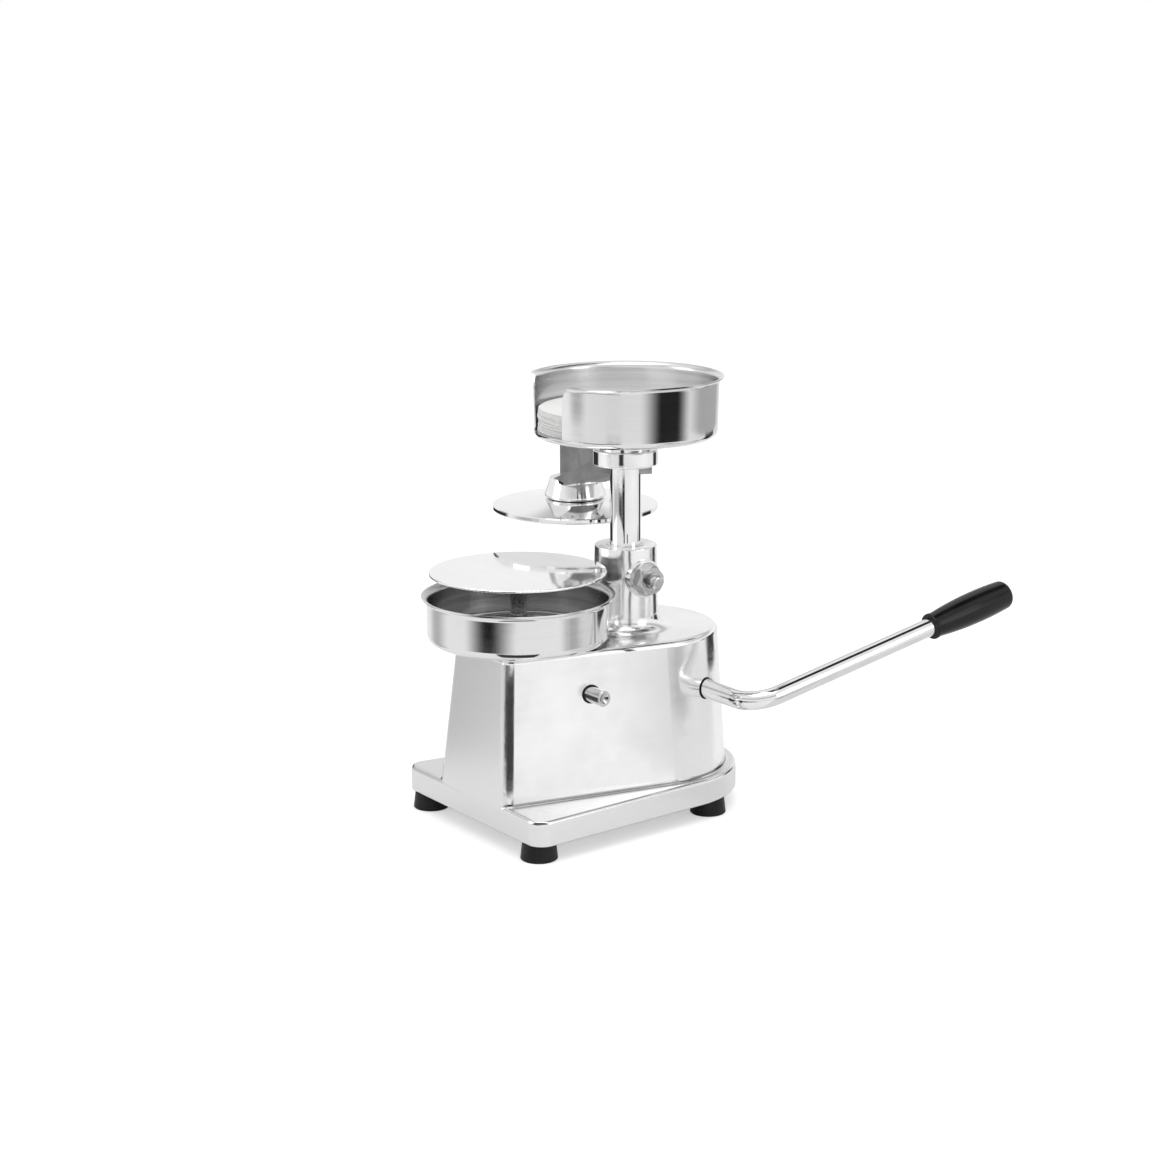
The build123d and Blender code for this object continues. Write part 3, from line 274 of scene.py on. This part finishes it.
def polished_casting():
    """Aluminium casting: hand-polished sides, satin front and ledge, an unpolished hollow inside;
    the hollow and the crease over the base get painted shade.
    """
    s = Shader("polished_casting", Anisotropic=0.25)
    place = s.place()
    z = s.split(place)[2]
    nx, ny, nz = s.split(s.facing())
    # Faces that look at the middle of the casting are its inside
    offset = s.vector("SUBTRACT", place, CASTING_MIDDLE)
    outward = s.vector("DOT_PRODUCT", s.join(nx, ny, 0.0), offset)
    inside = s.math("MAXIMUM", s.fall(outward, -0.002, 0.0), s.fall(nz, -0.6, -0.4))
    inside = s.times(inside, s.fall(z, *CEILING))
    front = s.times(s.fall(ny, -0.97, -0.8), s.fall(z, *FRONT_END))
    rim = s.fall(z, *RIM_EDGE)
    # The ledge is satin, and the roof only a little
    level_face = s.rise(nz, 0.85, 0.97)
    ledge = s.times(level_face, s.remap(z, *LEDGE_TO_ROOF, 0.85, 0.12))
    satin = s.math("MAXIMUM", s.math("MAXIMUM", front, rim), ledge)
    # Belt lines: level on the rim, upright elsewhere
    upright = s.noise(s.along((1.0, 1.0, 0.035)), 1700.0, 4.0, 0.62)
    level = s.noise(s.along((0.05, 0.035, 1.0)), 1900.0, 4.0, 0.62)
    belt = s.between(rim, upright, level)
    mop = s.noise(s.along((0.3, 0.12, 1.0)), 130.0, 4.0, 0.62)
    cloud = s.noise(place, 19.0, 5.0, 0.6)
    patch = s.noise(place, 55.0, 4.0, 0.55)
    grain = s.noise(place, 900.0, 3.0, 0.7)
    # Colour
    bright = s.blend(s.rise(cloud, 0.3, 0.72), grey(0.93, 0.004), grey(0.84, 0.006))
    brushed = s.blend(s.rise(belt, 0.3, 0.72), grey(0.79, 0.004), grey(0.755, 0.004))
    # The hollow inside: rough unpolished metal, painted darker as shade
    rough_hollow_and_shade = s.blend(s.rise(grain, 0.3, 0.7), grey(0.42, 0.006), grey(0.28, 0.006))
    outside = s.blend(satin, bright, brushed)
    # Painted shade: a dark line of grey(0.2) in the crease where the body stands on the base
    crease_shade = s.times(s.rise(nz, 0.12, 0.35), s.fall(nz, 0.7, 0.9))
    crease_shade = s.times(crease_shade, s.fall(z, *CREASE_END))
    crease_shade = s.times(crease_shade, s.rise(z, *CREASE_START))
    outside = s.blend(s.times(crease_shade, 0.85), outside, grey(0.2))
    colour = s.blend(inside, outside, rough_hollow_and_shade)
    # Roughness
    polish = s.plus(s.remap(cloud, 0.3, 0.7, 0.09, 0.2), s.remap(mop, 0.4, 0.7, 0.0, 0.06))
    matt = s.plus(s.remap(belt, 0.3, 0.7, 0.295, 0.31), s.remap(patch, 0.35, 0.7, -0.008, 0.012))
    gloss = s.between(inside, s.between(satin, polish, matt), 0.62)
    # Relief: slow waves of hand polishing, mop lines, belt lines, and sand texture inside
    wave = s.times(cloud, s.remap(satin, 0.0, 1.0, 1.0, 0.25))
    normal = s.bump(wave, 0.3 * MM, 0.12)
    normal = s.bump(s.times(mop, s.math("SUBTRACT", 1.0, satin)), 0.05 * MM, 0.16, normal)
    normal = s.bump(s.times(belt, satin), 0.02 * MM, 0.06, normal)
    normal = s.bump(s.times(grain, inside), 0.4 * MM, 0.9, normal)
    return s.finish(colour, gloss, normal)


def head_metal():
    """Head casting: polished hub, neck and boss; web and fin finished by blasting, with their tone
    darkened as painted shade under the tray.
    """
    s = Shader("head_metal")
    place = s.place()
    z = s.split(place)[2]
    hub_distance = s.vector("LENGTH", s.from_axis(COLUMN_AXIS))
    boss_distance = s.vector("LENGTH", s.from_axis(PLATE_AXIS))
    below_edge = s.fall(z, BOSS_EDGE - BOSS_BLUR[0], BOSS_EDGE + BOSS_BLUR[1])
    on_boss = s.times(s.fall(boss_distance, *BOSS_REACH), below_edge)
    above_foot = s.rise(z, HUB_FOOT - HUB_BLUR, HUB_FOOT)
    on_hub = s.times(s.fall(hub_distance, *HUB_REACH), above_foot)
    polished = s.math("MAXIMUM", on_boss, on_hub)
    blast = s.noise(place, 1300.0, 4.0, 0.7)
    cloud = s.noise(place, 90.0, 4.0)
    patch = s.noise(place, 38.0, 4.0, 0.6)
    rings = s.noise(s.join(0.0, 0.0, z), 1600.0, 3.0)
    bright = s.blend(s.rise(cloud, 0.3, 0.7), grey(0.9, 0.004), grey(0.82, 0.004))
    # Web and fin: blast-rough grey, darkened further as painted shade under the tray, with patches
    # of random tone
    dull_and_shaded = s.blend(s.rise(blast, 0.3, 0.7), grey(0.36, 0.004), grey(0.24, 0.004))
    pale = s.blend(s.rise(blast, 0.3, 0.7), grey(0.5, 0.004), grey(0.36, 0.004))
    blasted_and_shaded = s.blend(s.rise(patch, 0.4, 0.68), dull_and_shaded, pale)
    colour = s.blend(polished, blasted_and_shaded, bright)
    rough = s.remap(cloud, 0.3, 0.7, 0.46, 0.58)
    smooth = s.remap(cloud, 0.3, 0.7, 0.06, 0.14)
    gloss = s.between(polished, rough, smooth)
    normal = s.bump(s.times(blast, s.math("SUBTRACT", 1.0, polished)), 0.18 * MM, 0.8)
    normal = s.bump(rings, 0.006 * MM, 0.3, s.bump(cloud, 0.06 * MM, 0.25, normal))
    return s.finish(colour, gloss, normal)


def plated(name, tint, blue, rough):
    """Zinc plate, black oxide, bronze or bare iron: mottled, with fine grain."""
    s = Shader(name)
    mottle = s.noise(s.place(), 260.0, 5.0, 0.62)
    grain = s.noise(s.place(), 2400.0, 2.0)
    low = tuple(channel * 0.72 for channel in tint) + (1.0,)
    high = (tint[0], tint[1], tint[2] + blue, 1.0)
    colour = s.blend(s.rise(mottle, 0.3, 0.7), low, high)
    gloss = s.remap(mottle, 0.3, 0.7, rough, rough + 0.16)
    return s.finish(colour, gloss, s.bump(grain, 0.02 * MM, 0.4, s.bump(mottle, 0.05 * MM, 0.3)))


# ---------------------------------------------------------------- rubber, plastic, paper
def moulded(name, tone, rough_low, rough_high, grain_depth, coat):
    """Black rubber or plastic: grain, slight dust in the tone, worn shine."""
    s = Shader(name, metallic=0.0, Coat_Weight=coat, Coat_Roughness=0.06, IOR=1.38,
               Specular_IOR_Level=0.36)
    grain = s.noise(s.place(), 1500.0, 4.0, 0.7)
    dust = s.noise(s.place(), 70.0, 5.0, 0.65)
    wave = s.noise(s.place(), 32.0, 2.0)
    colour = s.blend(s.rise(dust, 0.4, 0.8), grey(tone), grey(tone * 2.2, 0.0005))
    gloss = s.remap(dust, 0.3, 0.75, rough_low, rough_high)
    return s.finish(colour, gloss, s.bump(grain, grain_depth, 0.6, s.bump(wave, 0.25 * MM, 0.2)))


def paper_material():
    """White paper: fibres, and a tint that changes from sheet to sheet."""
    s = Shader("paper_sheets", metallic=0.0, IOR=1.45, Sheen_Weight=0.12)
    fibre = s.noise(s.place(), 900.0, 5.0, 0.7)
    tint = s.noise(s.join(0.0, 0.0, s.split(s.place())[2]), 1400.0, 2.0)
    shade = s.rise(s.times(s.plus(fibre, tint), 0.5), 0.35, 0.65)
    colour = s.blend(shade, (0.9, 0.9, 0.89, 1.0), (0.97, 0.97, 0.96, 1.0))
    return s.finish(colour, s.remap(fibre, 0.3, 0.7, 0.72, 0.9), s.bump(fibre, 0.05 * MM, 0.5))


def dress(names, material):
    for name in names:
        nodes[name].data.materials.clear()
        nodes[name].data.materials.append(material)


# Stretch of the ground lines: level round an upright bar, even on the bent lever
UPRIGHT_BAR = (0.05, 0.05, 1.0)
BENT_BAR = (0.6, 0.6, 0.6)
screw_low, screw_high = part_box("drag_screw")
SCREW_AXIS = Vector((0.0, 0.0, screw_low.z / 2 + screw_high.z / 2))
stop_low, stop_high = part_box("stop_pin")
STOP_AXIS = Vector((0.0, (stop_low.y + stop_high.y) / 2, (stop_low.z + stop_high.z) / 2))

bronze = plated("bronze", tint=(0.72, 0.52, 0.3), blue=-0.02, rough=0.28)
zinc = plated("zinc_plate", tint=(0.66, 0.67, 0.69), blue=0.03, rough=0.26)
black_oxide = plated("black_oxide", tint=(0.05, 0.05, 0.052), blue=0.004, rough=0.34)
machined_iron = plated("machined_iron", tint=(0.34, 0.34, 0.35), blue=0.005, rough=0.4)
rubber = moulded("black_rubber", tone=0.009, rough_low=0.36, rough_high=0.52,
                 grain_depth=0.04 * MM, coat=0.0)
grip_plastic = moulded("grip_plastic", tone=0.004, rough_low=0.2, rough_high=0.3,
                       grain_depth=0.006 * MM, coat=0.12)

dress(["base_casting"], polished_casting())
dress(["head_casting"], head_metal())
dress(["forming_bowl"], spun_sheet("spun_bowl", BOWL_AXIS, inner_shade_dark=0.31, inner_shade_light=0.62))
dress(["paper_tray"], spun_sheet("spun_tray", COLUMN_AXIS, inner_shade_dark=0.56, inner_shade_light=0.82))
dress(["press_plate"], mirror_disc("mirror_plate", PLATE_AXIS, tone=0.88))
dress(["ejector_disc"], mirror_disc("mirror_ejector", BOWL_AXIS, tone=0.9))
dress(["column"], bright_bar("chrome_column", 0.88, UPRIGHT_BAR, wave=0.05 * MM))
dress(["ejector_rod"], bright_bar("chrome_ejector_rod", 0.86, UPRIGHT_BAR, wave=0.02 * MM))
dress(["handle_rod"], bright_bar("chrome_lever", 0.84, BENT_BAR, wave=0.12 * MM))
dress(["drag_screw", "drag_nut", "drag_washer"],
      turned_steel("turned_drag_screw", SCREW_AXIS, tone=0.62))
dress(["stop_pin"], turned_steel("turned_stop_pin", STOP_AXIS, tone=0.74))
dress(["ejector_guide", "tray_screw", "plate_screw", "crank_pin", "crank_roller",
       "column_bush_upper"], turned_steel("turned_small", COLUMN_AXIS, tone=0.8))
dress(["foot_front_right", "foot_front_left", "foot_rear_left", "foot_rear_right", "bowl_gasket",
       "shaft_seal", "stop_pin_grommet", "stop_sleeve", "tray_gasket"], rubber)
dress(["handle_grip"], grip_plastic)
dress(["column_bush_lower", "shaft_bush_right", "shaft_bush_left", "thrust_washer", "drag_pad"],
      bronze)
dress(["foot_screws", "bowl_nut", "column_washer", "column_screw", "shaft_spacer", "shaft_collar",
       "crank_arm"], zinc)
dress(["collar_screw", "crank_clamp_screw", "crank_clip", "stop_pin_clips", "ejector_clamp_screw",
       "head_clamp_screw"], black_oxide)
dress(["lift_bracket"], machined_iron)


# ---------------------------------------------------------------- paper stack, bundle by bundle
BUNDLES = 30
POINTS_AROUND = 120
SHEET_SHARE = 0.86      # of a bundle's height; the rest is the gap that shows between bundles
EDGE_MARGIN = 0.5 * MM  # keeps the waves inside the CAD stack


def paper_bundle(mesh, draw, radius, bottom, step):
    """One bundle of round papers, a little off centre and wavy at its edge."""
    size = radius - draw.uniform(0.0, 1.0) * MM
    shift_x = draw.uniform(-0.35, 0.35) * MM
    shift_y = draw.uniform(-0.35, 0.35) * MM
    phase = draw.uniform(0.0, 6.28)
    top = bottom + step * SHEET_SHARE
    # Share of the radius, height and lift of each ring, from the bottom over the edge to the top
    profile = ((0.0, bottom, 0.0), (0.97, bottom, 0.0), (1.0, bottom, 0.3),
               (1.0, top, -0.3), (0.97, top, 0.0), (0.0, top, 0.0))
    rings = []
    for share, z, lift in profile:
        if share == 0.0:
            rings.append([mesh.verts.new((shift_x, shift_y, z))])
            continue
        ring = []
        for k in range(POINTS_AROUND):
            a = 2 * math.pi * k / POINTS_AROUND
            wave = 0.22 * MM * math.sin(5 * a + phase) + 0.12 * MM * math.sin(13 * a + 2 * phase)
            reach = (size - EDGE_MARGIN + wave) * share
            x, y = shift_x + reach * math.cos(a), shift_y + reach * math.sin(a)
            ring.append(mesh.verts.new((x, y, z + lift * step * 0.3)))
        rings.append(ring)
    for first, second in zip(rings, rings[1:]):
        for k in range(POINTS_AROUND):
            n = (k + 1) % POINTS_AROUND
            if len(first) == 1:
                mesh.faces.new((first[0], second[n], second[k]))
            elif len(second) == 1:
                mesh.faces.new((first[k], first[n], second[0]))
            else:
                mesh.faces.new((first[k], first[n], second[n], second[k]))


def paper_stack():
    low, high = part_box("paper_stack")
    draw = random.Random(7)
    radius = (high.x - low.x) / 2
    step = (high.z - low.z) / BUNDLES
    mesh = bmesh.new()
    for index in range(BUNDLES):
        paper_bundle(mesh, draw, radius, low.z + index * step, step)
    data = bpy.data.meshes.new("paper_sheets")
    mesh.to_mesh(data)
    mesh.free()
    piece = bpy.data.objects.new("paper_sheets", data)
    bpy.context.scene.collection.objects.link(piece)
    data.materials.append(paper_material())
    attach(piece, "head")
    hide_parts("paper_stack")


paper_stack()

# ---------------------------------------------------------------- floor, light, camera
FLOOR_REACH = 6.0
FLOOR_TONE = 0.86
FLOOR_SEEN = 0.5        # light added where the camera sees the floor
FLOOR_IN_METAL = 0.2    # light added where metal mirrors it
WORLD_ON_MATT = 0.6     # brightness of the surround for everything but metal and the camera
# Brightness of the surround in metal: (sine of the elevation, value)
WORLD_IN_METAL = ((0.0, 0.97), (0.36, 0.97), (0.42, 0.5), (0.52, 0.5), (0.6, 0.95), (1.0, 1.0))

CAMERA_AZIMUTH = 54.0   # from the front, towards +X
CAMERA_PLACE = Vector((1.4647, -1.0638, 0.5946))
CAMERA_AIM = Vector((0.0, 0.0, 0.18))
CAMERA_LENS = 78.35
CAMERA_SHIFT = (-0.043, -0.0062)

# Plan points beside which cards stand
BODY_CORNER = (0.040, -0.129)
FRONT_LEFT = (-0.075, -0.137)
# name, start, azimuth from the camera's, distance, width, low, high, tone, soft
FLAGS = (
    ("flag_bowl", BOWL_AXIS, -33.0, 0.5, 0.68, 0.0, 0.125, 0.02, 0.95),
    ("flag_bowl_dip", BOWL_AXIS, 70.0, 0.5, 0.36, 0.0, 0.085, 0.5, 0.9),
    ("flag_tray", COLUMN_AXIS, 40.2, 0.119, 0.128, 0.268, 0.345, 0.02, 0.75),
    ("flag_tray_dip", COLUMN_AXIS, -60.0, 0.95, 0.5, 0.105, 0.235, 0.5, 0.9),
    ("flag_tray_side", COLUMN_AXIS, 102.0, 0.14, 0.2, 0.268, 0.345, 0.48, 0.6),
    ("flag_column", COLUMN_AXIS, -14.0, 0.85, 0.34, 0.0, 0.09, 0.01, 0.5),
    ("flag_column_left", COLUMN_AXIS, -75.0, 0.9, 1.0, 0.0, 0.07, 0.5, 0.9),
    ("flag_tower", COLUMN_AXIS, 12.0, 0.076, 0.011, 0.136, 0.195, 0.03, 0.4),
    ("flag_edge_left", COLUMN_AXIS, -132.0, 0.55, 0.56, 0.06, 0.195, 0.03, 0.4),
    ("flag_edge_right", COLUMN_AXIS, 124.0, 0.55, 0.26, 0.0, 0.195, 0.03, 0.3),
    ("flag_hub", COLUMN_AXIS, -12.0, 0.06, 0.018, 0.255, 0.284, 0.03, 0.5),
    ("flag_corner", BODY_CORNER, 6.0, 0.055, 0.08, 0.034, 0.124, 0.05, 0.12),
    ("flag_front", FRONT_LEFT, -108.0, 0.2, 0.26, 0.0, 0.13, 0.55, 0.95),
)
# name, centre, azimuth, width, depth, tone
FLAT_FLAGS = (
    # Overhead: the dark line along the top of the lever, the rims and the upper edges
    ("flag_overhead", (0.11, 0.57, 1.0), 90.0, 0.9, 0.56, 0.02),
    # Near the floor: the greyer underside of the lever
    ("flag_under_lever", (0.26, 0.34, 0.003), 90.0, 0.6, 0.44, 0.8),
)
FLAT_SOFT = 0.35


def stage_mesh(name, corners):
    """One face that belongs to the studio, not to the product, with an empty material."""
    data = bpy.data.meshes.new(name)
    data.from_pydata(corners, [], [(0, 1, 2, 3)])
    piece = bpy.data.objects.new(name, data)
    bpy.context.scene.collection.objects.link(piece)
    material = bpy.data.materials.new(name)
    material.use_nodes = True
    material.node_tree.nodes.clear()
    data.materials.append(material)
    return piece, Nodes(material.node_tree)


def make_floor():
    """White floor with soft shadows, lifted for the camera and held back in the metal."""
    reach = FLOOR_REACH
    corners = [(-reach, -reach, 0), (reach, -reach, 0), (reach, reach, 0), (-reach, reach, 0)]
    floor, n = stage_mesh("floor", corners)
    path = n.add("ShaderNodeLightPath").outputs
    mirrored = n.times(path["Is Glossy Ray"], FLOOR_IN_METAL)
    pairs = [(0, path["Is Camera Ray"]), (1, FLOOR_SEEN), (2, mirrored)]
    lift = n.add("ShaderNodeMath", pairs, operation="MULTIPLY_ADD").outputs[0]
    diffuse = n.add("ShaderNodeBsdfDiffuse", [("Color", grey(FLOOR_TONE))]).outputs[0]
    glow = n.add("ShaderNodeEmission", [("Color", grey(1.0)), ("Strength", lift)]).outputs[0]
    both = n.add("ShaderNodeAddShader", [(0, diffuse), (1, glow)]).outputs[0]
    n.add("ShaderNodeOutputMaterial", [(0, both)])


def make_world():
    """Even studio surround; metal sees it brighter, with one dark band above the horizon."""
    world = bpy.data.worlds.new("studio")
    bpy.context.scene.world = world
    world.use_nodes = True
    n = Nodes(world.node_tree)
    path = n.add("ShaderNodeLightPath").outputs
    height = n.split(n.add("ShaderNodeTexCoord").outputs["Generated"])[2]
    ramp = n.add("ShaderNodeValToRGB", [(0, height)])
    ramp.color_ramp.interpolation = "EASE"
    stops = ramp.color_ramp.elements
    for index, (place, value) in enumerate(WORLD_IN_METAL):
        stop = stops[index] if index < 2 else stops.new(place)
        stop.position = place
        stop.color = grey(value)
    unseen = n.between(path["Is Glossy Ray"], WORLD_ON_MATT, ramp.outputs[0])
    background = n.tree.nodes["Background"]
    n.put(background.inputs["Color"], grey(1.0))
    n.put(background.inputs["Strength"], n.between(path["Is Camera Ray"], unseen, 1.0))


def soft_lamp(name, place, aim, width, height, watts):
    """Rectangular area lamp."""
    data = bpy.data.lights.new(name, "AREA")
    data.shape = "RECTANGLE"
    data.size = width
    data.size_y = height
    data.energy = watts
    lamp = bpy.data.objects.new(name, data)
    bpy.context.scene.collection.objects.link(lamp)
    lamp.location = place
    lamp.rotation_euler = (Vector(aim) - Vector(place)).to_track_quat("-Z", "Y").to_euler()


def dark_card(name, corners, centre, side, half, tone, soft):
    """Card that only reflections see, as a studio flag beside a polished product.

    It fades out over the share soft of its half width, on both sides of centre along side.
    """
    card, n = stage_mesh(name, corners)
    position = n.add("ShaderNodeNewGeometry").outputs["Position"]
    across = n.vector("DOT_PRODUCT", n.vector("SUBTRACT", position, centre), side.normalized())
    fade = n.remap(n.math("ABSOLUTE", across), half * (1.0 - soft), half, 1.0, 0.0,
                   interpolation_type="SMOOTHSTEP")
    glow = n.add("ShaderNodeEmission", [("Color", grey(tone))]).outputs[0]
    clear = n.add("ShaderNodeBsdfTransparent").outputs[0]
    mix = n.add("ShaderNodeMixShader", [(0, fade), (1, clear), (2, glow)]).outputs[0]
    n.add("ShaderNodeOutputMaterial", [(0, mix)])
    card.visible_camera = False
    card.visible_diffuse = False
    card.visible_shadow = False
    card.visible_transmission = False


def flag(name, start, azimuth, distance, width, low, high, tone, soft):
    """Card standing at distance from the plan point start, towards azimuth, between two heights."""
    a = math.radians(azimuth)
    centre = Vector((start[0] + math.sin(a) * distance, start[1] - math.cos(a) * distance, 0.0))
    side = Vector((math.cos(a), math.sin(a), 0.0)) * width / 2
    left, right = centre - side, centre + side
    corners = [(left.x, left.y, low), (right.x, right.y, low),
               (right.x, right.y, high), (left.x, left.y, high)]
    dark_card(name, corners, centre, side, width / 2, tone, soft)


def flat_flag(name, centre, azimuth, width, depth, tone):
    """Card lying level, with its depth towards azimuth; it fades along its depth."""
    a = math.radians(azimuth)
    centre = Vector(centre)
    side = Vector((math.cos(a), math.sin(a), 0.0)) * width / 2
    out = Vector((math.sin(a), -math.cos(a), 0.0)) * depth / 2
    corners = [centre - side - out, centre + side - out, centre + side + out, centre - side + out]
    dark_card(name, corners, centre, out, depth / 2, tone, FLAT_SOFT)


def make_camera():
    """The camera fitted to the photograph."""
    data = bpy.data.cameras.new("camera")
    data.sensor_width = 36.0
    data.lens = CAMERA_LENS
    data.shift_x, data.shift_y = CAMERA_SHIFT
    camera = bpy.data.objects.new("camera", data)
    bpy.context.scene.collection.objects.link(camera)
    camera.location = CAMERA_PLACE
    aim = CAMERA_AIM - camera.location
    camera.rotation_euler = aim.to_track_quat("-Z", "Y").to_euler()
    bpy.context.scene.camera = camera


make_floor()
make_world()
soft_lamp("lamp_top", (0.2, -0.1, 1.9), (0.0, 0.0, 0.1), width=1.6, height=1.6, watts=11.0)
soft_lamp("lamp_left", (-0.9, -1.7, 0.9), (0.0, 0.0, 0.15), width=1.0, height=1.2, watts=5.0)
soft_lamp("lamp_right", (1.9, 0.9, 0.9), (0.0, 0.0, 0.15), width=1.0, height=1.2, watts=5.0)
for name, start, turn, *rest in FLAGS:
    flag(name, start, CAMERA_AZIMUTH + turn, *rest)
for flat_card in FLAT_FLAGS:
    flat_flag(*flat_card)
make_camera()
bpy.context.scene.view_settings.view_transform = "Standard"
